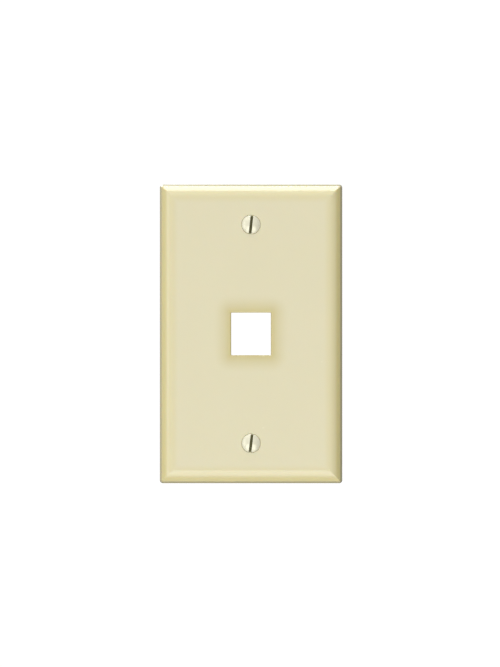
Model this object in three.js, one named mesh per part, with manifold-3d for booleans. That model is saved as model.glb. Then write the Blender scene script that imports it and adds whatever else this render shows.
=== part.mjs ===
// A single-gang wall plate with one keystone port, two captive oval-head screws and their retaining washers.
//
// Everything is in millimetres. The drawing frame below has X to the right, Y up the wall and Z out of the
// wall towards the room, with Z = 0 on the wall. The exported group turns it upright: +Z up, the front
// facing -Y, and the origin on the wall, in the middle of the plate.
import * as THREE from "three";
import { mergeVertices } from "three/addons/utils/BufferGeometryUtils.js";
import Module from "manifold-3d";

const wasm = await Module();
wasm.setup();

// ---------------------------------------------------------------- driving dimensions

const PLATE = { width: 69.85, height: 114.3, depth: 5.6, face: 2.2, corner: 1.2 };
const EDGE = { draftDegrees: 14, noseRadius: 2.0, bevelDegrees: 43, bevelRun: 0.5, shoulderRun: 3.8 };
const CAVITY = { rim: 2.0, straight: 1.4, slopeRun: 2.6, corner: 1.6 };
const PORT = { width: 15.2, height: 16.2, lip: 3.0, depth: 10.0, wall: 1.9, corner: 0.3, edgeRound: 0.5 };
const LATCH = { below: 2.0, above: 4.0, catchTall: 2.0, catchThick: 1.8, ramp: 1.0 };
const HOLE = { spacing: 83.34, radius: 2.0, bossRadius: 4.3, bossDepth: 4.0, seatGap: 0.2 };
const RIB = { thick: 1.2, tall: 1.6 };
const SCREW = { headRadius: 3.5, dome: 1.15, headDegrees: 82, length: 15.875, slotWidth: 1.0, slotDepth: 1.5 };
const THREAD = { major: 1.75, minor: 1.36, pitch: 0.79375, tip: 0.5 };
const WASHER = { radius: 4.0, bore: 1.86, thick: 0.8 };
const CAPTIVE_TURNS = 6;
const CAPTIVE_CLEARANCE = 0.24;
const SLOT_TILT_DEGREES = { top: 6, bottom: 7 };

// Worked out from the dimensions above.
const CEILING = PLATE.depth - PLATE.face;
const PORT_BACK = PLATE.depth - PORT.depth;
const BOSS_BACK = PLATE.depth - HOLE.bossDepth;
const WASHER_FRONT = BOSS_BACK - CAPTIVE_TURNS * THREAD.pitch - CAPTIVE_CLEARANCE;
const ROUND_STEPS = 48;
const CORNER_STEPS = 5;
const PAST = 1; // how far a cutting body runs past the face that it opens

// ---------------------------------------------------------------- materials

const ivory = new THREE.MeshStandardMaterial({ color: 0xe1dab8, roughness: 0.32, metalness: 0 });
const paint = new THREE.MeshStandardMaterial({ color: 0xe9e4cb, roughness: 0.25, metalness: 0.1 });
const fibre = new THREE.MeshStandardMaterial({ color: 0x8c3b2a, roughness: 0.85, metalness: 0 });

// ---------------------------------------------------------------- solids

function solid(geometry) {
  const plain = geometry.clone();
  plain.deleteAttribute("normal");
  plain.deleteAttribute("uv");
  const merged = mergeVertices(plain, 1e-4);
  const vertProperties = new Float32Array(merged.attributes.position.array);
  const triVerts = new Uint32Array(merged.index.array);
  return new wasm.Manifold(new wasm.Mesh({ numProp: 3, vertProperties, triVerts }));
}

function mesh(name, body, material) {
  const { vertProperties, triVerts } = body.getMesh();
  const geometry = new THREE.BufferGeometry();
  geometry.setAttribute("position", new THREE.BufferAttribute(new Float32Array(vertProperties), 3));
  geometry.setIndex(new THREE.BufferAttribute(new Uint32Array(triVerts), 1));
  const made = new THREE.Mesh(geometry, material);
  made.name = name;
  return made;
}

// A box between two heights, centred on (x, y).
function block(width, height, low, high, x = 0, y = 0) {
  return solid(new THREE.BoxGeometry(width, height, high - low)).translate([x, y, (low + high) / 2]);
}

// A body of revolution about Z, from [radius, height] pairs that run up from the axis and back to it.
function turned(profile, x = 0, y = 0) {
  const points = profile.map(([radius, height]) => new THREE.Vector2(radius, height));
  const upright = new THREE.LatheGeometry(points, ROUND_STEPS).rotateX(Math.PI / 2);
  return solid(upright).translate([x, y, 0]);
}

// The corner points of a rounded rectangle, anticlockwise from the lower right.
function roundedRectangle(halfWidth, halfHeight, radius) {
  const corners = [[1, -1], [1, 1], [-1, 1], [-1, -1]];
  const points = [];
  corners.forEach(([x, y], quarter) => {
    for (let i = 0; i <= CORNER_STEPS; i++) {
      const angle = ((quarter - 1 + i / CORNER_STEPS) * Math.PI) / 2;
      points.push([
        x * (halfWidth - radius) + radius * Math.cos(angle),
        y * (halfHeight - radius) + radius * Math.sin(angle),
      ]);
    }
  });
  return points;
}

// A closed body through rounded rectangles, each {halfWidth, halfHeight, radius, z}, from the lowest z up.
function loft(rings) {
  const position = [];
  const index = [];
  const count = 4 * (CORNER_STEPS + 1);
  for (const { halfWidth, halfHeight, radius, z } of rings) {
    for (const [x, y] of roundedRectangle(halfWidth, halfHeight, radius)) position.push(x, y, z);
  }
  const bottomCentre = rings.length * count;
  const topCentre = bottomCentre + 1;
  position.push(0, 0, rings[0].z, 0, 0, rings[rings.length - 1].z);
  for (let i = 0; i < count; i++) {
    const next = (i + 1) % count;
    index.push(bottomCentre, next, i);
    index.push(topCentre, (rings.length - 1) * count + i, (rings.length - 1) * count + next);
    for (let ring = 0; ring < rings.length - 1; ring++) {
      const low = ring * count;
      const high = low + count;
      index.push(low + i, low + next, high + next, low + i, high + next, high + i);
    }
  }
  const geometry = new THREE.BufferGeometry();
  geometry.setAttribute("position", new THREE.Float32BufferAttribute(position, 3));
  geometry.setIndex(index);
  return solid(geometry);
}

// ---------------------------------------------------------------- the plate

// The edge's outline as [inset, z]: a side wall that leans in a little, a rounded nose, a short straight
// bevel, and a long shoulder that curves over into the flat face.
function edgeOutline() {
  const slope = THREE.MathUtils.degToRad(EDGE.bevelDegrees);
  const draft = THREE.MathUtils.degToRad(EDGE.draftDegrees);
  const shoulderRadius = EDGE.shoulderRun / Math.sin(slope);
  const bevelTop = PLATE.depth - shoulderRadius * (1 - Math.cos(slope));
  const bevelFoot = bevelTop - EDGE.bevelRun * Math.tan(slope);
  const noseCentre = bevelFoot - EDGE.noseRadius * Math.cos(slope);
  const wallTop = noseCentre + EDGE.noseRadius * Math.sin(draft);
  const wallInset = wallTop * Math.tan(draft);
  const outline = [[0, 0]];
  const noseSteps = 5;
  for (let i = 0; i <= noseSteps; i++) {
    const lean = draft + ((Math.PI / 2 - slope - draft) * i) / noseSteps; // from upright, inwards
    outline.push([
      wallInset + EDGE.noseRadius * (Math.cos(draft) - Math.cos(lean)),
      noseCentre + EDGE.noseRadius * Math.sin(lean),
    ]);
  }
  const shoulderEnd = outline[noseSteps + 1][0] + EDGE.bevelRun + EDGE.shoulderRun;
  const shoulderSteps = 6;
  for (let i = 0; i <= shoulderSteps; i++) {
    const steepness = slope * (1 - i / shoulderSteps);
    outline.push([
      shoulderEnd - shoulderRadius * Math.sin(steepness),
      PLATE.depth - shoulderRadius * (1 - Math.cos(steepness)),
    ]);
  }
  return outline;
}

function outerShell() {
  return loft(
    edgeOutline().map(([inset, z]) => ({
      halfWidth: PLATE.width / 2 - inset,
      halfHeight: PLATE.height / 2 - inset,
      radius: Math.max(PLATE.corner - inset, 0.3),
      z,
    })),
  );
}

// The hollow back: straight inside the rim, then sloping in under the bevel to a flat ceiling.
function backCavity() {
  const outline = [
    [CAVITY.rim, -PAST],
    [CAVITY.rim, CAVITY.straight],
    [CAVITY.rim + CAVITY.slopeRun, CEILING],
  ];
  return loft(
    outline.map(([inset, z]) => ({
      halfWidth: PLATE.width / 2 - inset,
      halfHeight: PLATE.height / 2 - inset,
      radius: CAVITY.corner,
      z,
    })),
  );
}

// The opening through the face and its lip, with a small round where it meets the face.
function portMouth() {
  const round = PORT.edgeRound;
  const outline = [[0, PLATE.depth - PORT.lip - PAST]];
  const steps = 4;
  for (let i = 0; i <= steps; i++) {
    const angle = (i / steps) * (Math.PI / 2);
    outline.push([round * (1 - Math.cos(angle)), PLATE.depth - round * (1 - Math.sin(angle))]);
  }
  outline.push([round, PLATE.depth + PAST]);
  return loft(
    outline.map(([outset, z]) => ({
      halfWidth: PORT.width / 2 + outset,
      halfHeight: PORT.height / 2 + outset,
      radius: PORT.corner + outset,
      z,
    })),
  );
}

// The housing behind the port, with the space inside it that a keystone jack snaps into: behind the
// opening's lip, with a catch below and above at the back, each with a lead-in ramp.
const PORT_FLOOR = -PORT.height / 2 - LATCH.below;
const PORT_ROOF = PORT.height / 2 + LATCH.above;

function portHousing() {
  const height = PORT_ROOF - PORT_FLOOR + 2 * PORT.wall;
  const middle = (PORT_ROOF + PORT_FLOOR) / 2;
  return block(PORT.width + 2 * PORT.wall, height, PORT_BACK, CEILING + PLATE.face / 2, 0, middle);
}

function portSpace() {
  const lipBack = PLATE.depth - PORT.lip;
  const catchFront = PORT_BACK + LATCH.catchThick;
  const rampFront = PORT_BACK + LATCH.ramp;
  const lowerCatch = PORT_FLOOR + LATCH.catchTall;
  const upperCatch = PORT_ROOF - LATCH.catchTall;
  const section = new THREE.Shape();
  section.moveTo(lipBack, PORT_FLOOR);
  section.lineTo(lipBack, PORT_ROOF);
  section.lineTo(catchFront, PORT_ROOF);
  section.lineTo(catchFront, upperCatch);
  section.lineTo(rampFront, upperCatch);
  section.lineTo(PORT_BACK, upperCatch + LATCH.ramp);
  section.lineTo(PORT_BACK - PAST, upperCatch + LATCH.ramp);
  section.lineTo(PORT_BACK - PAST, lowerCatch - LATCH.ramp);
  section.lineTo(PORT_BACK, lowerCatch - LATCH.ramp);
  section.lineTo(rampFront, lowerCatch);
  section.lineTo(catchFront, lowerCatch);
  section.lineTo(catchFront, PORT_FLOOR);
  section.closePath();
  const across = new THREE.ExtrudeGeometry(section, { depth: PORT.width, bevelEnabled: false });
  across.rotateY(-Math.PI / 2); // the section's X becomes Z, and its depth runs along -X
  return solid(across).translate([PORT.width / 2, 0, 0]);
}

// Ribs from the port housing to the side walls and to the screw bosses. They are left standing when the
// cavity is hollowed out, so only their rear edge and their thickness matter here.
function ribs() {
  const low = CEILING - RIB.tall;
  const high = CEILING + PAST;
  const sideEnd = PLATE.width / 2;
  const housingSide = PORT.width / 2 + PORT.wall / 2;
  const sideLength = sideEnd - housingSide;
  const bossY = HOLE.spacing / 2 - HOLE.bossRadius + HOLE.radius / 2;
  const made = [];
  for (const side of [-1, 1]) {
    for (const y of [PORT_FLOOR - PORT.wall / 2, PORT_ROOF + PORT.wall / 2]) {
      made.push(block(sideLength, RIB.thick, low, high, side * (housingSide + sideLength / 2), y));
    }
  }
  const upper = [PORT_ROOF + PORT.wall / 2, bossY];
  const lower = [-bossY, PORT_FLOOR - PORT.wall / 2];
  for (const [from, to] of [upper, lower]) {
    made.push(block(RIB.thick, to - from, low, high, 0, (from + to) / 2));
  }
  return made;
}

function boss(y) {
  return turned(
    [
      [0, BOSS_BACK],
      [HOLE.bossRadius, BOSS_BACK],
      [HOLE.bossRadius, CEILING + PAST],
      [0, CEILING + PAST],
    ],
    0,
    y,
  );
}

const headSlope = Math.tan(THREE.MathUtils.degToRad(SCREW.headDegrees / 2));

function countersunkHole(y) {
  const seatRadius = SCREW.headRadius + HOLE.seatGap;
  return turned(
    [
      [0, BOSS_BACK - PAST],
      [HOLE.radius, BOSS_BACK - PAST],
      [HOLE.radius, PLATE.depth - (seatRadius - HOLE.radius) / headSlope],
      [seatRadius, PLATE.depth],
      [seatRadius, PLATE.depth + PAST],
      [0, PLATE.depth + PAST],
    ],
    0,
    y,
  );
}

function wallPlate() {
  const holes = [HOLE.spacing / 2, -HOLE.spacing / 2];
  let hollow = backCavity();
  for (const rib of ribs()) hollow = hollow.subtract(rib);
  for (const y of holes) hollow = hollow.subtract(boss(y));
  let body = outerShell().subtract(hollow).add(portHousing());
  body = body.subtract(portMouth()).subtract(portSpace());
  for (const y of holes) body = body.subtract(countersunkHole(y));
  return mesh("wall_plate", body, ivory);
}

// ---------------------------------------------------------------- the screws

// A right-handed thread as one closed body round Z. Its surface is a grid that climbs one pitch per
// turn, so each row of points meets the row one pitch above it where the turn closes.
function threadedRod(length) {
  const around = 16;
  const crest = THREAD.major;
  const root = THREAD.minor;
  const tooth = [[0, root], [0.12, root], [0.5, crest], [0.62, crest]]; // [share of the pitch, radius]
  const turns = Math.ceil(length / THREAD.pitch) + 2;
  const rows = turns * tooth.length;
  const position = [];
  const index = [];
  for (let row = 0; row <= rows; row++) {
    const [share, radius] = tooth[row % tooth.length];
    const base = (Math.floor(row / tooth.length) + share - 1) * THREAD.pitch;
    for (let i = 0; i < around; i++) {
      const angle = (i / around) * 2 * Math.PI;
      position.push(radius * Math.cos(angle), radius * Math.sin(angle), base + (i / around) * THREAD.pitch);
    }
  }
  const at = (row, i) => (i < around ? row * around + i : (row + tooth.length) * around);
  const steps = rows - tooth.length;
  for (let row = 0; row < steps; row++) {
    for (let i = 0; i < around; i++) {
      const corners = [at(row, i), at(row, i + 1), at(row + 1, i + 1), at(row + 1, i)];
      index.push(corners[0], corners[1], corners[2], corners[0], corners[2], corners[3]);
    }
  }
  // Each end is a spiral step, closed by a fan from its rim to a point on the axis.
  const ends = [[0, -2 * THREAD.pitch, 1], [steps, length + 3 * THREAD.pitch, -1]];
  for (const [row, z, turn] of ends) {
    const centre = position.length / 3;
    position.push(0, 0, z);
    const rim = [];
    for (let i = 0; i <= around; i++) rim.push(at(row, i));
    for (let k = tooth.length - 1; k > 0; k--) rim.push(at(row + k, 0));
    rim.forEach((a, i) => {
      const b = rim[(i + 1) % rim.length];
      index.push(...(turn > 0 ? [centre, b, a] : [centre, a, b]));
    });
  }
  const geometry = new THREE.BufferGeometry();
  geometry.setAttribute("position", new THREE.Float32BufferAttribute(position, 3));
  geometry.setIndex(index);
  return solid(geometry);
}

// An oval-head screw on the Z axis, its head's rim level with the plate's face.
function screwBody(tiltDegrees) {
  const face = PLATE.depth;
  const tip = face - SCREW.length;
  const neck = face - (SCREW.headRadius - THREAD.minor) / headSlope;
  const domeRadius = (SCREW.headRadius ** 2 + SCREW.dome ** 2) / (2 * SCREW.dome);
  const profile = [[0, neck - THREAD.pitch], [THREAD.minor, neck - THREAD.pitch], [THREAD.minor, neck]];
  const domeSteps = 7;
  for (let i = 0; i <= domeSteps; i++) {
    const radius = SCREW.headRadius * (1 - i / domeSteps);
    profile.push([radius, face + SCREW.dome - domeRadius + Math.sqrt(domeRadius ** 2 - radius ** 2)]);
  }
  const head = turned(profile);
  const blank = turned([
    [0, tip],
    [THREAD.minor - THREAD.tip / 2, tip],
    [THREAD.major + THREAD.tip / 2, tip + THREAD.tip * 2],
    [THREAD.major + THREAD.tip / 2, neck],
    [0, neck],
  ]);
  const shank = threadedRod(SCREW.length).translate([0, 0, tip]).intersect(blank);
  const slotFloor = face + SCREW.dome - SCREW.slotDepth;
  const slot = block(SCREW.slotWidth, 4 * SCREW.headRadius, slotFloor, face + 2 * SCREW.dome);
  return head.add(shank).subtract(slot.rotate([0, 0, -tiltDegrees]));
}

function washerBody() {
  const back = WASHER_FRONT - WASHER.thick;
  return turned([
    [WASHER.bore, back],
    [WASHER.radius, back],
    [WASHER.radius, WASHER_FRONT],
    [WASHER.bore, WASHER_FRONT],
    [WASHER.bore, back],
  ]);
}

// ---------------------------------------------------------------- the assembly

const drawing = new THREE.Group();
drawing.rotation.x = Math.PI / 2;
drawing.add(wallPlate());
for (const [place, side] of [["top", 1], ["bottom", -1]]) {
  const fixing = new THREE.Group();
  fixing.position.y = (side * HOLE.spacing) / 2;
  fixing.add(mesh(`${place}_mounting_screw`, screwBody(SLOT_TILT_DEGREES[place]), paint));
  fixing.add(mesh(`${place}_retaining_washer`, washerBody(), fibre));
  drawing.add(fixing);
}

const wallPlateAssembly = new THREE.Group();
wallPlateAssembly.add(drawing);

export default wallPlateAssembly;
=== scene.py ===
"""A single-gang wall plate in ivory plastic, with one keystone port, two captive oval-head screws and
their fibre washers. Shapes are drawn in millimetres in the row frame: X to the right, Z up the wall,
and the front facing -Y. They are scaled to metres when each mesh is made."""

import math

import bmesh
import bpy
from mathutils import Matrix, Vector


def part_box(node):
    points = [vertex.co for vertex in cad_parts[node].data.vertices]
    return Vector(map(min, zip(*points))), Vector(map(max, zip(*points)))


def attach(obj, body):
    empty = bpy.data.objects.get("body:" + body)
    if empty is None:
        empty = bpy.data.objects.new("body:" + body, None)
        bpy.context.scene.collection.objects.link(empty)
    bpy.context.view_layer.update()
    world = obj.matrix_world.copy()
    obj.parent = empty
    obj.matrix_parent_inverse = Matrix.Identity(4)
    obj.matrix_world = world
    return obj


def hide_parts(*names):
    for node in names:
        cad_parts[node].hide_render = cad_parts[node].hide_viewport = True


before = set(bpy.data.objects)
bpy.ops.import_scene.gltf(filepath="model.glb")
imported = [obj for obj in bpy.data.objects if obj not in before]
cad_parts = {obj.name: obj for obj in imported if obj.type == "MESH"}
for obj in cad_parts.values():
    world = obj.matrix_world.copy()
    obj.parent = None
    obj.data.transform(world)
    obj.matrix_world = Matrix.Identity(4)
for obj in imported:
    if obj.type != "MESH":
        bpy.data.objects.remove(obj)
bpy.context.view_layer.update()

MM = 0.001


def box_mm(node):
    low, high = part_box(node)
    return Vector(low) / MM, Vector(high) / MM


# ------------------------------------------------------------ sizes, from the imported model

PLATE_LOW, PLATE_HIGH = box_mm("wall_plate")
HALF_WIDTH, HALF_HEIGHT = PLATE_HIGH.x, PLATE_HIGH.z
FRONT = PLATE_LOW.y
HOUSING_BACK = PLATE_HIGH.y
CEILING = FRONT + 2.2  # the hollow back's ceiling, behind a face 2.2 mm thick
SCREWS = {side: box_mm(f"{side}_mounting_screw") for side in ("top", "bottom")}
WASHERS = {side: box_mm(f"{side}_retaining_washer") for side in ("top", "bottom")}
HEAD_RADIUS = SCREWS["top"][1].x
DOME = FRONT - SCREWS["top"][0].y
TIP = SCREWS["top"][1].y
HEAD_SLOPE = math.tan(math.radians(41))

PORT_HALF_WIDTH, PORT_HALF_HEIGHT, PORT_LIP, PORT_WALL = 7.6, 8.1, 3.0, 1.9
PORT_FLOOR, PORT_ROOF = -10.1, 12.1
THREAD_MAJOR, THREAD_MINOR, PITCH = 1.75, 1.36, 0.79375
BOSS_BACK = FRONT + 4.0
EJECTOR_COLUMNS, EJECTOR_ROWS = (-21, 21), (-42, -25, 1, 27, 42)
AXIS = 0.01  # the radius where a turned body's end caps close, so that no face has zero area
SLOT_TILT = {"top": 6, "bottom": 7}  # degrees clockwise from upright, seen from the front
SLOT_HALF_WIDTH, SLOT_DEPTH = 0.5, 1.5
DOME_RADIUS = (HEAD_RADIUS**2 + DOME**2) / (2 * DOME)


def screw_centre(side):
    low, high = SCREWS[side]
    return (low.z + high.z) / 2


# ------------------------------------------------------------ outlines


def rounded(points, steps=6):
    """A 2D outline through (x, y) or (x, y, radius) points, its corners turned into arcs of that radius."""
    out = []
    for i, point in enumerate(points):
        radius = point[2] if len(point) > 2 else 0
        here = Vector(point[:2])
        if not radius:
            out.append(tuple(here))
            continue
        before = (Vector(points[i - 1][:2]) - here).normalized()
        after = (Vector(points[(i + 1) % len(points)][:2]) - here).normalized()
        half = before.angle(after) / 2
        reach = radius / math.tan(half)
        centre = here + (before + after).normalized() * radius / math.sin(half)
        start = here + before * reach - centre
        end = here + after * reach - centre
        turn = start.angle_signed(end)
        for k in range(steps + 1):
            out.append(tuple(centre + Matrix.Rotation(-turn * k / steps, 2) @ start))
    return out


def rounded_rectangle(half_width, half_height, radius, steps):
    """Points anticlockwise round a rectangle with round corners."""
    points = []
    for quarter, (x, z) in enumerate([(1, 1), (-1, 1), (-1, -1), (1, -1)]):
        for k in range(steps + 1):
            angle = (quarter + k / steps) * math.pi / 2
            points.append(
                (
                    x * (half_width - radius) + radius * math.cos(angle),
                    z * (half_height - radius) + radius * math.sin(angle),
                )
            )
    return points


# ------------------------------------------------------------ solids


def new_object(name, bm):
    bmesh.ops.remove_doubles(bm, verts=bm.verts, dist=1e-4)
    bmesh.ops.recalc_face_normals(bm, faces=bm.faces)
    mesh = bpy.data.meshes.new(name)
    bm.to_mesh(mesh)
    bm.free()
    made = bpy.data.objects.new(name, mesh)
    bpy.context.scene.collection.objects.link(made)
    return made


def skin(rings, caps=True, loop=False):
    """A closed body through rings of 3D points that all have the same count."""
    bm = bmesh.new()
    rows = [[bm.verts.new(point) for point in ring] for ring in rings]
    pairs = list(zip(rows, rows[1:])) + ([(rows[-1], rows[0])] if loop else [])
    for low, high in pairs:
        for i in range(len(low)):
            j = (i + 1) % len(low)
            bm.faces.new((low[i], low[j], high[j], high[i]))
    if caps:
        bm.faces.new(rows[0])
        bm.faces.new(rows[-1])
    return new_object("solid", bm)


def loft(rings, centre=(0, 0), steps=8):
    """A body through rounded rectangles (half width, half height, corner radius, y), facing along Y."""
    return skin(
        [
            [(centre[0] + x, y, centre[1] + z) for x, z in rounded_rectangle(w, h, max(r, 0.02), steps)]
            for w, h, r, y in rings
        ]
    )


def turned(profile, centre_z=0, steps=96, closed=False):
    """A body of revolution about the Y axis through (0, centre_z), from (radius, y) points."""
    rings = []
    for radius, y in profile:
        ring = []
        for i in range(steps):
            angle = 2 * math.pi * i / steps
            ring.append((radius * math.cos(angle), y, centre_z + radius * math.sin(angle)))
        rings.append(ring)
    return skin(rings, caps=not closed, loop=closed)


def extruded(outline, start, end, place):
    """A prism of a 2D outline between two stations; place(u, v, station) gives each 3D point."""
    return skin([[place(u, v, station) for u, v in outline] for station in (start, end)])


def combine(base, other, operation):
    modifier = base.modifiers.new("combine", "BOOLEAN")
    modifier.operation = operation
    modifier.solver = "EXACT"
    modifier.object = other
    graph = bpy.context.evaluated_depsgraph_get()
    mesh = bpy.data.meshes.new_from_object(base.evaluated_get(graph))
    base.modifiers.clear()
    old = base.data
    base.data = mesh
    bpy.data.meshes.remove(old)
    bpy.data.objects.remove(other)
    return base


def join(base, other):
    return combine(base, other, "UNION")


def cut(base, other):
    return combine(base, other, "DIFFERENCE")


def finish_piece(piece, name, material, body, node, sharp_degrees=32):
    """Scales a piece to metres, smooths it between its sharp edges, and puts it on its body."""
    piece.name = name
    piece.data.name = name
    bm = bmesh.new()
    bm.from_mesh(piece.data)
    bmesh.ops.remove_doubles(bm, verts=bm.verts, dist=2e-4)
    bmesh.ops.dissolve_degenerate(bm, edges=bm.edges, dist=1e-4)
    bmesh.ops.scale(bm, vec=(MM, MM, MM), verts=bm.verts)
    bm.to_mesh(piece.data)
    bm.free()
    piece.data.shade_smooth()
    piece.data.set_sharp_from_angle(angle=math.radians(sharp_degrees))
    weighted = piece.modifiers.new("weighted_normals", "WEIGHTED_NORMAL")
    weighted.keep_sharp = True
    weighted.weight = 80
    piece.data.materials.clear()
    piece.data.materials.append(material)
    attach(piece, body)
    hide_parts(node)


# ------------------------------------------------------------ the plate


def edge_profile():
    """(inset, y) from the back rim up the leaning side wall, over the nose and the shoulder to the face."""
    slope, draft = math.radians(43), math.radians(14)
    nose_radius, bevel_run, shoulder_run, rim_round = 2.0, 0.5, 3.8, 0.15
    shoulder_radius = shoulder_run / math.sin(slope)
    bevel_foot = -FRONT - shoulder_radius * (1 - math.cos(slope)) - bevel_run * math.tan(slope)
    nose_centre = bevel_foot - nose_radius * math.cos(slope)
    wall_inset = (nose_centre + nose_radius * math.sin(draft)) * math.tan(draft)
    wall = [(rim_round, 0.0), (0.0, 0.0, rim_round / 2), (wall_inset, wall_inset / math.tan(draft))]
    points = rounded(wall, 4)[:-1]
    steps = 16
    for k in range(steps + 1):
        lean = draft + (math.pi / 2 - slope - draft) * k / steps
        inset = wall_inset + nose_radius * (math.cos(draft) - math.cos(lean))
        points.append((inset, nose_centre + nose_radius * math.sin(lean)))
    shoulder_end = points[-1][0] + bevel_run + shoulder_run
    for k in range(steps + 1):
        steepness = slope * (1 - k / steps)
        inset = shoulder_end - shoulder_radius * math.sin(steepness)
        points.append((inset, -FRONT - shoulder_radius * (1 - math.cos(steepness))))
    return [(inset, -depth) for inset, depth in points]


def outer_shell():
    return loft(
        [
            (HALF_WIDTH - inset, HALF_HEIGHT - inset, max(1.2 - inset, 0.3), y)
            for inset, y in edge_profile()
        ]
    )


def hollow_back():
    """The open space behind the face: a straight side from the rim, then a slope up to the ceiling."""
    outline = rounded(
        [
            (1.8, 1.0),
            (1.85, 0.0, 0.15),
            (2.0, -0.3, 0.15),
            (2.0, -1.4, 0.6),
            (4.6, CEILING, 1.4),
            (8.0, CEILING),
        ],
        steps=5,
    )
    return loft([(HALF_WIDTH - inset, HALF_HEIGHT - inset, 1.6, y) for inset, y in outline])


def housing():
    """The keystone port's walls, with a fillet at the ceiling and a rounded rear edge."""
    centre = (PORT_ROOF + PORT_FLOOR) / 2
    half_width = PORT_HALF_WIDTH + PORT_WALL
    half_height = (PORT_ROOF - PORT_FLOOR) / 2 + PORT_WALL
    outline = rounded(
        [
            (0.6, CEILING - 1.1),
            (0.6, CEILING),
            (0.0, CEILING, 0.5),
            (-0.1, HOUSING_BACK, 0.22),
            (-0.8, HOUSING_BACK),
        ],
        steps=5,
    )
    rings = [(half_width + out, half_height + out, 0.5 + out / 2, y) for out, y in outline]
    return loft(rings, (0, centre), 6)


def port_mouth():
    """The hole through the lip, with a rounded front edge."""
    rings = [(0, FRONT + PORT_LIP + 1)]
    for k in range(9):
        angle = math.pi / 2 * k / 8
        rings.append((0.5 * (1 - math.cos(angle)), FRONT + 0.5 * (1 - math.sin(angle))))
    rings.append((0.5, FRONT - 1))
    return loft([(PORT_HALF_WIDTH + out, PORT_HALF_HEIGHT + out, 0.3 + out, y) for out, y in rings])


def port_space():
    """The space behind the lip, with a ramped catch below and above at the back."""
    lip_back, catch_front, ramp = FRONT + PORT_LIP, HOUSING_BACK - 1.8, HOUSING_BACK - 1.0
    catch_height = 2.0
    outline = rounded(
        [
            (lip_back, PORT_FLOOR, 0.2),
            (lip_back, PORT_ROOF, 0.2),
            (catch_front, PORT_ROOF, 0.2),
            (catch_front, PORT_ROOF - catch_height, 0.15),
            (ramp, PORT_ROOF - catch_height, 0.2),
            (HOUSING_BACK, PORT_ROOF - 1.0, 0.15),
            (HOUSING_BACK + 1, PORT_ROOF - 0.8),
            (HOUSING_BACK + 1, PORT_FLOOR + 0.8),
            (HOUSING_BACK, PORT_FLOOR + 1.0, 0.15),
            (ramp, PORT_FLOOR + catch_height, 0.2),
            (catch_front, PORT_FLOOR + catch_height, 0.15),
            (catch_front, PORT_FLOOR, 0.2),
        ],
        steps=4,
    )
    return extruded(outline, -PORT_HALF_WIDTH, PORT_HALF_WIDTH, lambda u, v, x: (x, u, v))


def rib(start, end, place):
    """A thin rib with a round rear edge and a fillet where it meets the ceiling."""
    tip = CEILING + 1.6
    half = rounded(
        [(1.05, CEILING - 0.8), (1.05, CEILING), (0.6, CEILING, 0.4), (0.5, tip, 0.3), (0, tip)],
        steps=5,
    )
    outline = half[:-1] + [(-u, v) for u, v in reversed(half[:-1])]
    return extruded(outline, start, end, place)


def ribs():
    """Two ribs across on each side of the housing, and an upright one above and below it."""
    side = HALF_WIDTH - 0.9
    inner = PORT_HALF_WIDTH + PORT_WALL / 2
    made = []
    for z in (PORT_FLOOR - PORT_WALL / 2, PORT_ROOF + PORT_WALL / 2):
        for start, end in ((-side, -inner), (inner, side)):
            made.append(rib(start, end, lambda u, v, x, z=z: (x, v, z + u)))
    reach = screw_centre("top") - 3.3
    made.append(rib(PORT_ROOF + PORT_WALL / 2, reach, lambda u, v, z: (u, v, z)))
    made.append(rib(-reach, PORT_FLOOR - PORT_WALL / 2, lambda u, v, z: (u, v, z)))
    return made


def boss(centre_z):
    """A round boss for a screw, from a fillet at the ceiling to a rounded rear edge."""
    side = rounded(
        [
            (4.8, CEILING - 1.1),
            (4.8, CEILING),
            (4.3, CEILING, 0.45),
            (4.25, BOSS_BACK, 0.25),
            (0.5, BOSS_BACK),
        ]
    )
    return turned([(AXIS, CEILING - 1.1)] + side + [(AXIS, BOSS_BACK)], centre_z)


def countersunk_hole(centre_z):
    """A screw's hole, with a chamfer at the back and a seat for the head's cone at the front."""
    seat, radius = HEAD_RADIUS + 0.25, 2.0
    cone_foot = FRONT + (seat - radius) / HEAD_SLOPE
    side = rounded(
        [
            (radius + 0.4, BOSS_BACK + 1),
            (radius + 0.2, BOSS_BACK, 0.1),
            (radius, BOSS_BACK - 0.3, 0.2),
            (radius, cone_foot, 0.2),
            (seat, FRONT, 0.1),
            (seat + 0.05, FRONT - 1),
        ],
        steps=4,
    )
    return turned([(AXIS, BOSS_BACK + 1)] + side + [(AXIS, FRONT - 1)], centre_z)


def ejector_mark(x, z):
    """The faint round mark that a mould's ejector pin leaves in the ceiling."""
    floor, above = CEILING - 0.07, CEILING + 0.3
    side = [(2.4, floor), (2.5, CEILING - 0.02), (2.55, above)]
    mark = turned([(AXIS, floor)] + side + [(AXIS, above)], z, steps=64)
    mark.data.transform(Matrix.Translation((x, 0, 0)))
    return mark


def make_plate(material):
    holes = [screw_centre("top"), screw_centre("bottom")]
    hollow = hollow_back()
    for piece in ribs() + [boss(z) for z in holes]:
        cut(hollow, piece)
    plate = cut(outer_shell(), hollow)
    join(plate, housing())
    cut(plate, port_mouth())
    cut(plate, port_space())
    for z in holes:
        cut(plate, countersunk_hole(z))
    for x in EJECTOR_COLUMNS:
        for z in EJECTOR_ROWS:
            cut(plate, ejector_mark(x, z))
    finish_piece(plate, "moulded_plate", material, "plate", "wall_plate")


# ------------------------------------------------------------ the screws


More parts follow.
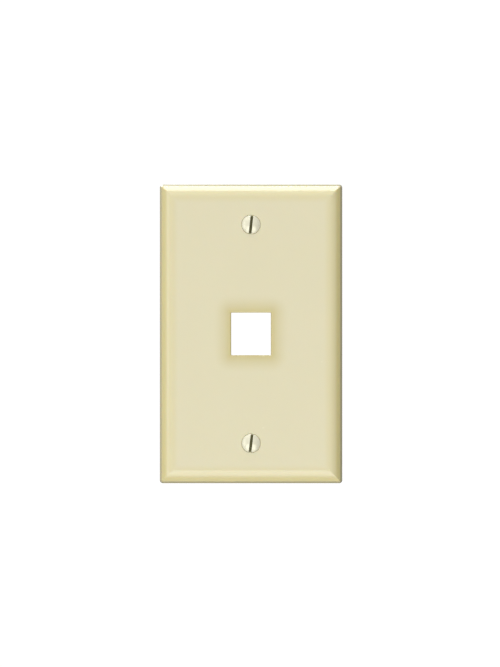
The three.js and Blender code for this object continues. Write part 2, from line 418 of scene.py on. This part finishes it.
def threaded_rod(start, length, around=48):
    """A right-handed thread about Y that climbs from y = start towards the front, closed at both ends."""
    flanks = rounded(
        [
            (0.1, THREAD_MINOR),
            (0.14, THREAD_MINOR, 0.06),
            (0.5, THREAD_MAJOR, 0.04),
            (0.62, THREAD_MAJOR, 0.04),
            (0.98, THREAD_MINOR),
        ],
        steps=2,
    )
    tooth = [(0, THREAD_MINOR)] + flanks[1:-1]  # (share of one pitch, radius)
    count = len(tooth)
    turns = math.ceil(length / PITCH) + 2
    bm = bmesh.new()
    grid = []
    for row in range(turns * count + 1):
        share, radius = tooth[row % count]
        base = (row // count + share - 1) * PITCH
        ring = []
        for i in range(around):
            angle = 2 * math.pi * i / around
            climb = base + PITCH * i / around
            ring.append(bm.verts.new((radius * math.cos(angle), start - climb, radius * math.sin(angle))))
        grid.append(ring)

    def at(row, i):
        return grid[row][i] if i < around else grid[row + count][0]

    rows = turns * count - count
    for row in range(rows):
        for i in range(around):
            bm.faces.new((at(row, i), at(row, i + 1), at(row + 1, i + 1), at(row + 1, i)))
    for row, y in ((0, start + 2 * PITCH), (rows, start - length - 3 * PITCH)):
        centre = bm.verts.new((0, y, 0))
        rim = [at(row, i) for i in range(around + 1)] + [at(row + k, 0) for k in range(count - 1, 0, -1)]
        for a, b in zip(rim, rim[1:] + rim[:1]):
            bm.faces.new((centre, a, b))
    return new_object("solid", bm)


def head_top():
    """A block whose front is the head's dome with the screwdriver slot let into it, its edges softened."""
    slot_floor = FRONT - DOME + SLOT_DEPTH
    edge, foot = 0.1, 0.12
    reach, block_back = HEAD_RADIUS + 0.3, FRONT + 6

    def dome(x, z):
        return FRONT - DOME + DOME_RADIUS - math.sqrt(max(DOME_RADIUS**2 - x * x - z * z, 1e-6))

    # Each column is (x, whether it is in the slot, its offset from the slot's floor or the dome).
    half = [(0, True, 0), ((SLOT_HALF_WIDTH - foot) / 2, True, 0)]
    for k in range(5):
        angle = math.pi / 2 * k / 4
        half.append((SLOT_HALF_WIDTH - foot + foot * math.sin(angle), True, -foot * (1 - math.cos(angle))))
    for k in range(6):
        angle = math.pi / 2 * k / 5
        half.append((SLOT_HALF_WIDTH + edge * (1 - math.cos(angle)), False, edge * (1 - math.sin(angle))))
    while half[-1][0] < reach:
        half.append((half[-1][0] + 0.16, False, 0))
    columns = [(-x, in_slot, offset) for x, in_slot, offset in reversed(half[1:])] + half
    bm = bmesh.new()
    count = 56
    top, bottom = [], []
    for x, in_slot, offset in columns:
        line, floor = [], []
        for k in range(count + 1):
            z = reach * (2 * k / count - 1)
            surface = slot_floor if in_slot else dome(x, z)
            line.append(bm.verts.new((x, surface + offset, z)))
            floor.append(bm.verts.new((x, block_back, z)))
        top.append(line)
        bottom.append(floor)
    last = len(columns) - 1
    for c in range(last):
        for k in range(count):
            bm.faces.new((top[c][k], top[c][k + 1], top[c + 1][k + 1], top[c + 1][k]))
            bm.faces.new((bottom[c][k], bottom[c + 1][k], bottom[c + 1][k + 1], bottom[c][k + 1]))
        for k in (0, count):
            bm.faces.new((top[c][k], top[c + 1][k], bottom[c + 1][k], bottom[c][k]))
    for c in (0, last):
        for k in range(count):
            bm.faces.new((top[c][k], top[c][k + 1], bottom[c][k + 1], bottom[c][k]))
    return new_object("solid", bm)


def make_screw(side, material):
    """An oval head with its slot, joined to a threaded shank with a chamfered tip."""
    neck = FRONT + (HEAD_RADIUS - THREAD_MINOR) / HEAD_SLOPE
    cone = rounded(
        [(THREAD_MINOR, neck, 0.3), (HEAD_RADIUS, FRONT, 0.1), (HEAD_RADIUS, FRONT - 2)],
        steps=4,
    )
    head = turned([(AXIS, neck + 1.2), (THREAD_MINOR, neck + 1.2)] + cone + [(AXIS, FRONT - 2)])
    combine(head, head_top(), "INTERSECT")
    clear, tip_radius, chamfer = THREAD_MAJOR + 0.1, THREAD_MINOR - 0.3, 0.9
    blank = turned(
        [
            (AXIS, TIP),
            (tip_radius, TIP),
            (clear, TIP - chamfer),
            (clear, neck + 0.3),
            (THREAD_MINOR, neck - 0.1),
            (AXIS, neck - 0.1),
        ]
    )
    rod = threaded_rod(TIP, TIP - FRONT)
    combine(rod, blank, "INTERSECT")
    join(head, rod)
    turn = Matrix.Rotation(math.radians(SLOT_TILT[side]), 4, "Y")
    head.data.transform(Matrix.Translation((0, 0, screw_centre(side))) @ turn)
    finish_piece(
        head,
        f"{side}_screw_enamelled",
        material,
        f"{side}_screw",
        f"{side}_mounting_screw",
        sharp_degrees=38,
    )


def make_washer(side, material):
    low, high = WASHERS[side]
    outer, bore, edge = high.x, 1.86, 0.12
    profile = rounded(
        [(bore, high.y, edge), (outer, high.y, edge), (outer, low.y, edge), (bore, low.y, edge)],
        steps=4,
    )
    washer = turned(profile, (low.z + high.z) / 2, closed=True)
    finish_piece(
        washer,
        f"{side}_fibre_washer",
        material,
        f"{side}_washer",
        f"{side}_retaining_washer",
    )


# ------------------------------------------------------------ materials


class Tree:
    """A short way to write a material's nodes."""

    def __init__(self, name):
        self.material = bpy.data.materials.new(name)
        self.material.use_nodes = True
        self.nodes = self.material.node_tree.nodes
        self.links = self.material.node_tree.links
        self.shader = self.nodes["Principled BSDF"]
        self.place = self.add("ShaderNodeTexCoord").outputs["Object"]

    def add(self, kind, settings=None, **inputs):
        node = self.nodes.new(kind)
        for key, value in (settings or {}).items():
            setattr(node, key, value)
        for key, value in inputs.items():
            self.put(node, key.replace("_", " "), value)
        return node

    def put(self, node, key, value):
        socket = node.inputs[int(key[1:])] if key[0] == "i" and key[1:].isdigit() else node.inputs[key]
        if isinstance(value, bpy.types.NodeSocket):
            self.links.new(value, socket)
        else:
            socket.default_value = value

    def math(self, operation, a, b=0.0, clamp=False):
        settings = {"operation": operation, "use_clamp": clamp}
        return self.add("ShaderNodeMath", settings, i0=a, i1=b).outputs[0]

    def vector(self, operation, a, b=(0, 0, 0)):
        node = self.add("ShaderNodeVectorMath", {"operation": operation}, i0=a, i1=b)
        return node.outputs["Value" if operation == "LENGTH" else "Vector"]

    def ramp(self, value, stops):
        """A curve through (position, brightness) stops."""
        node = self.add("ShaderNodeValToRGB", Fac=value)
        elements = node.color_ramp.elements
        node.color_ramp.interpolation = "EASE"
        while len(elements) < len(stops):
            elements.new(0.5)
        for element, (position, level) in zip(elements, stops):
            element.position = position
            element.color = (level, level, level, 1) if isinstance(level, (int, float)) else (*level, 1)
        return node.outputs["Color"]

    def noise(self, scale, detail=3.0, roughness=0.5, place=None):
        node = self.add("ShaderNodeTexNoise", Scale=scale, Detail=detail, Roughness=roughness)
        self.links.new(place or self.place, node.inputs["Vector"])
        return node.outputs["Fac"]

    def spread(self, value, low, high):
        return self.add("ShaderNodeMapRange", Value=value, To_Min=low, To_Max=high).outputs["Result"]

    def mix(self, blend, factor, a, b):
        node = self.add("ShaderNodeMix", {"data_type": "RGBA", "blend_type": blend})
        for socket, value in ((node.inputs[0], factor), (node.inputs[6], a), (node.inputs[7], b)):
            if isinstance(value, bpy.types.NodeSocket):
                self.links.new(value, socket)
            else:
                socket.default_value = value
        return node.outputs[2]

    def bump(self, height, distance, strength=1.0, normal=None):
        node = self.add("ShaderNodeBump", Height=height, Distance=distance, Strength=strength)
        if normal:
            self.links.new(normal, node.inputs["Normal"])
        return node.outputs["Normal"]

    def set(self, **inputs):
        for key, value in inputs.items():
            self.put(self.shader, key.replace("_", " "), value)


def plate_plastic():
    """Ivory plastic, a little translucent. As painted shade, its colour is darkened and deepened in a band
    round the port and along the edges.
    """
    tree = Tree("ivory_plastic")
    away = tree.vector("ABSOLUTE", tree.place)
    # Painted shade round the port: the colour grows darker and deeper within 7 mm of the opening.
    past_port = tree.vector("SUBTRACT", away, (PORT_HALF_WIDTH * MM, 1.0, PORT_HALF_HEIGHT * MM))
    from_port = tree.vector("LENGTH", tree.vector("MAXIMUM", past_port))
    port_band, falloff, edge_band = 7 * MM, 1.6, 7.5 * MM
    port_share = tree.math("SUBTRACT", 1.0, tree.math("DIVIDE", from_port, port_band), clamp=True)
    port_painted_shade = tree.math("POWER", port_share, falloff)
    # Painted shade along the edges: the colour grows darker and deeper within 7.5 mm of the rim.
    inside = tree.vector("SUBTRACT", (HALF_WIDTH * MM, 0.0, HALF_HEIGHT * MM), away)
    parts = tree.add("ShaderNodeSeparateXYZ", Vector=inside)
    from_edge = tree.math("MINIMUM", parts.outputs["X"], parts.outputs["Z"])
    edge_painted_shade = tree.ramp(
        tree.math("DIVIDE", from_edge, edge_band),
        [(0.0, 1.0), (0.25, 0.95), (0.42, 0.55), (0.66, 0.38), (1.0, 0.0)],
    )
    cloud = tree.noise(55, 3, 0.55)
    streak = tree.noise(9, 2, 0.5, tree.vector("MULTIPLY", tree.place, (3.0, 1.0, 1.0)))
    colour = tree.mix("MIX", cloud, (0.792, 0.737, 0.494, 1), (0.812, 0.749, 0.512, 1))
    colour = tree.mix("MULTIPLY", tree.spread(streak, 0.0, 0.5), colour, (0.985, 0.985, 0.965, 1))
    # Painted shade round the port, multiplied into the colour.
    colour = tree.mix("MULTIPLY", port_painted_shade, colour, (0.82, 0.765, 0.51, 1))
    # Painted shade along the edges, multiplied into the colour.
    colour = tree.mix("MULTIPLY", edge_painted_shade, colour, (0.94, 0.89, 0.62, 1))
    grain = tree.noise(2600, 2, 0.6)
    ripple = tree.noise(85, 2, 0.45)
    normal = tree.bump(grain, 0.000012, 0.5)
    normal = tree.bump(ripple, 0.00006, 0.35, normal)
    tree.set(
        Base_Color=colour,
        Roughness=tree.spread(tree.noise(240, 4, 0.6), 0.20, 0.30),
        Normal=normal,
        Subsurface_Weight=0.12,
        Subsurface_Radius=(1.0, 0.62, 0.25),
        Subsurface_Scale=0.0012,
        IOR=1.55,
        Coat_Weight=1.0,
        Coat_Roughness=0.18,
    )
    return tree.material


def screw_paint(side):
    """Pearly ivory enamel on the head. It thins out over bright zinc-plated steel down the shank. At the
    bottom of the slot it gives way to bare steel, coloured near black there as painted shade."""
    tree = Tree(f"{side}_screw_enamel_on_steel")
    centre = screw_centre(side) * MM
    local = tree.vector("SUBTRACT", tree.place, (0.0, 0.0, centre))
    depth = tree.add("ShaderNodeSeparateXYZ", Vector=local).outputs["Y"]
    spray = tree.noise(1400, 4, 0.65, local)
    line = tree.math("ADD", depth, tree.spread(spray, -0.0007, 0.0007))
    bare = tree.ramp(
        tree.math("DIVIDE", tree.math("SUBTRACT", line, FRONT * MM), 0.006),
        [(0.0, 0.0), (0.30, 0.0), (0.42, 1.0), (1.0, 1.0)],
    )
    # How far a point lies below the dome: within the slot's width, that is how deep it lies in the slot.
    from_axis = tree.vector("LENGTH", tree.vector("MULTIPLY", local, (1.0, 0.0, 1.0)))
    sagitta = tree.math("DIVIDE", tree.math("MULTIPLY", from_axis, from_axis), 2 * DOME_RADIUS * MM)
    below_dome = tree.math("SUBTRACT", tree.math("SUBTRACT", depth, (FRONT - DOME) * MM), sagitta)
    turned_back = tree.add(
        "ShaderNodeVectorRotate",
        {"rotation_type": "Y_AXIS"},
        Vector=local,
        Angle=-math.radians(SLOT_TILT[side]),
    ).outputs["Vector"]
    off_slot = tree.math("ABSOLUTE", tree.add("ShaderNodeSeparateXYZ", Vector=turned_back).outputs["X"])
    in_slot = tree.math(
        "MULTIPLY",
        tree.math("LESS_THAN", off_slot, (SLOT_HALF_WIDTH + 0.03) * MM),
        tree.math("LESS_THAN", depth, (FRONT - DOME + SLOT_DEPTH + 0.15) * MM),
    )
    deep = tree.ramp(
        tree.math("DIVIDE", tree.math("ADD", below_dome, tree.spread(spray, -0.0002, 0.0002)), 0.002),
        [(0.0, 0.0), (0.1, 0.0), (0.4, 1.0), (1.0, 1.0)],
    )
    # Bare steel at the slot's floor; this mask also darkens it there as painted shade.
    bare_and_shaded_slot = tree.math("MULTIPLY", in_slot, deep)
    paint = tree.mix("MIX", tree.noise(500, 3, 0.5, local), (0.86, 0.82, 0.61, 1), (0.92, 0.89, 0.69, 1))
    steel = tree.mix("MIX", tree.noise(900, 4, 0.6, local), (0.52, 0.53, 0.55, 1), (0.70, 0.70, 0.68, 1))
    # Painted shade: the near-black colour of the slot's floor.
    slot_shade_colour = tree.mix("MIX", tree.noise(2500, 4, 0.7, local), (0.08, 0.078, 0.03, 1), (0.18, 0.17, 0.09, 1))
    colour = tree.mix("MIX", bare_and_shaded_slot, tree.mix("MIX", bare, paint, steel), slot_shade_colour)
    peel = tree.bump(tree.noise(900, 2, 0.5, local), 0.00002, 0.35)
    scuffs = tree.bump(tree.noise(6000, 2, 0.6, local), 0.000006, 0.4, peel)
    gloss = tree.math("ADD", tree.math("MULTIPLY", bare, 0.5), tree.math("MULTIPLY", spray, 0.5))
    tree.set(
        Base_Color=colour,
        Metallic=tree.spread(tree.math("MAXIMUM", bare, bare_and_shaded_slot), 0.2, 1.0),
        Roughness=tree.spread(tree.math("ADD", gloss, bare_and_shaded_slot), 0.18, 0.42),
        Normal=scuffs,
        IOR=1.6,
    )
    return tree.material


def washer_fibre():
    """Dull red vulcanised fibre, mottled, with short fibres lying in its faces."""
    tree = Tree("red_vulcanised_fibre")
    strands = tree.noise(1500, 5, 0.7, tree.vector("MULTIPLY", tree.place, (1.0, 1.0, 0.22)))
    mottle = tree.noise(700, 3, 0.6)
    reds = [(0.25, (0.16, 0.035, 0.022)), (0.5, (0.27, 0.062, 0.036)), (0.75, (0.40, 0.12, 0.07))]
    colour = tree.ramp(strands, reds)
    colour = tree.mix("MULTIPLY", tree.spread(mottle, 0.0, 0.6), colour, (0.80, 0.72, 0.70, 1))
    tree.set(
        Base_Color=colour,
        Roughness=tree.spread(strands, 0.72, 0.95),
        Normal=tree.bump(strands, 0.00005, 0.6),
    )
    return tree.material


# ------------------------------------------------------------ floor, lights and camera


def aim(made, target):
    made.rotation_euler = (Vector(target) - made.location).to_track_quat("-Z", "Y").to_euler()


def area_light(name, place, target, size, power, colour=(1, 1, 1)):
    data = bpy.data.lights.new(name, "AREA")
    data.shape = "RECTANGLE"
    data.size, data.size_y = size
    data.energy = power
    data.color = colour
    made = bpy.data.objects.new(name, data)
    made.location = place
    bpy.context.scene.collection.objects.link(made)
    aim(made, target)


def make_floor():
    bm = bmesh.new()
    bmesh.ops.create_circle(bm, cap_ends=True, segments=96, radius=1.0)
    floor = new_object("studio_floor", bm)
    floor.location = (0, 0, -1.2)
    tree = Tree("studio_floor_white")
    colour = tree.mix("MIX", tree.noise(3, 3), (0.74, 0.74, 0.73, 1), (0.77, 0.77, 0.76, 1))
    tree.set(Base_Color=colour, Roughness=0.7)
    floor.data.materials.append(tree.material)


def make_world():
    """A white room, plain white to the camera. As a light it is strongest in front, then above and left."""
    world = bpy.data.worlds.new("white_studio")
    bpy.context.scene.world = world
    world.use_nodes = True
    nodes, links = world.node_tree.nodes, world.node_tree.links

    def calculate(operation, a, b):
        node = nodes.new("ShaderNodeMath")
        node.operation = operation
        for socket, value in ((node.inputs[0], a), (node.inputs[1], b)):
            if isinstance(value, bpy.types.NodeSocket):
                links.new(value, socket)
            else:
                socket.default_value = value
        return node.outputs[0]

    direction = nodes.new("ShaderNodeSeparateXYZ")
    links.new(nodes.new("ShaderNodeTexCoord").outputs["Generated"], direction.inputs[0])
    level, seen_white = 0.02, 1.05
    for axis, sign, strength in (("Z", 1, 0.40), ("X", -1, 0.34), ("Y", -1, 0.51), ("Y", 1, 0.22)):
        side = calculate("MAXIMUM", calculate("MULTIPLY", direction.outputs[axis], sign), 0.0)
        level = calculate("ADD", calculate("MULTIPLY", side, strength), level)
    camera_ray = nodes.new("ShaderNodeLightPath").outputs["Is Camera Ray"]
    blend = nodes.new("ShaderNodeMix")
    links.new(camera_ray, blend.inputs[0])
    links.new(level, blend.inputs[2])
    blend.inputs[3].default_value = seen_white
    links.new(blend.outputs[0], nodes["Background"].inputs["Strength"])
    nodes["Background"].inputs["Color"].default_value = (1, 1, 1, 1)


def make_lights():
    """Soft boxes aimed at the plate, each with its place, its width and height, and its power in watts."""
    centre = (0, 0, 0)
    area_light("overhead_softbox", (0.0, 0.10, 0.9), centre, (0.5, 0.95), 6.3, (0.87, 0.91, 1.0))
    area_light("low_front_softbox", (0.0, -1.12, -0.75), centre, (1.8, 1.1), 9.6)
    area_light("high_front_softbox", (-0.40, -0.65, 1.05), centre, (1.4, 0.9), 1.8)
    area_light("left_strip", (-1.0, -0.84, 0.0), centre, (0.15, 1.2), 1.1)
    area_light("rear_softbox", (-0.55, 1.30, 0.80), centre, (1.0, 1.0), 4.0)


def make_camera():
    """Straight on to the plate, far enough away that no perspective shows."""
    scene = bpy.context.scene
    distance, frame_height, sensor = 1.5, 0.2549, 36
    aim_x, aim_y, aim_z = -0.0004, -0.0016, 0.00015
    data = bpy.data.cameras.new("camera")
    data.sensor_width = sensor
    data.lens = sensor * distance / frame_height
    camera = bpy.data.objects.new("camera", data)
    camera.location = (aim_x, aim_y - distance, aim_z)
    camera.rotation_euler = (math.pi / 2, 0, 0)
    scene.collection.objects.link(camera)
    scene.camera = camera
    scene.view_settings.view_transform = "Standard"


make_camera()
make_world()
make_lights()
make_floor()
make_plate(plate_plastic())
fibre = washer_fibre()
for side in ("top", "bottom"):
    make_screw(side, screw_paint(side))
    make_washer(side, fibre)
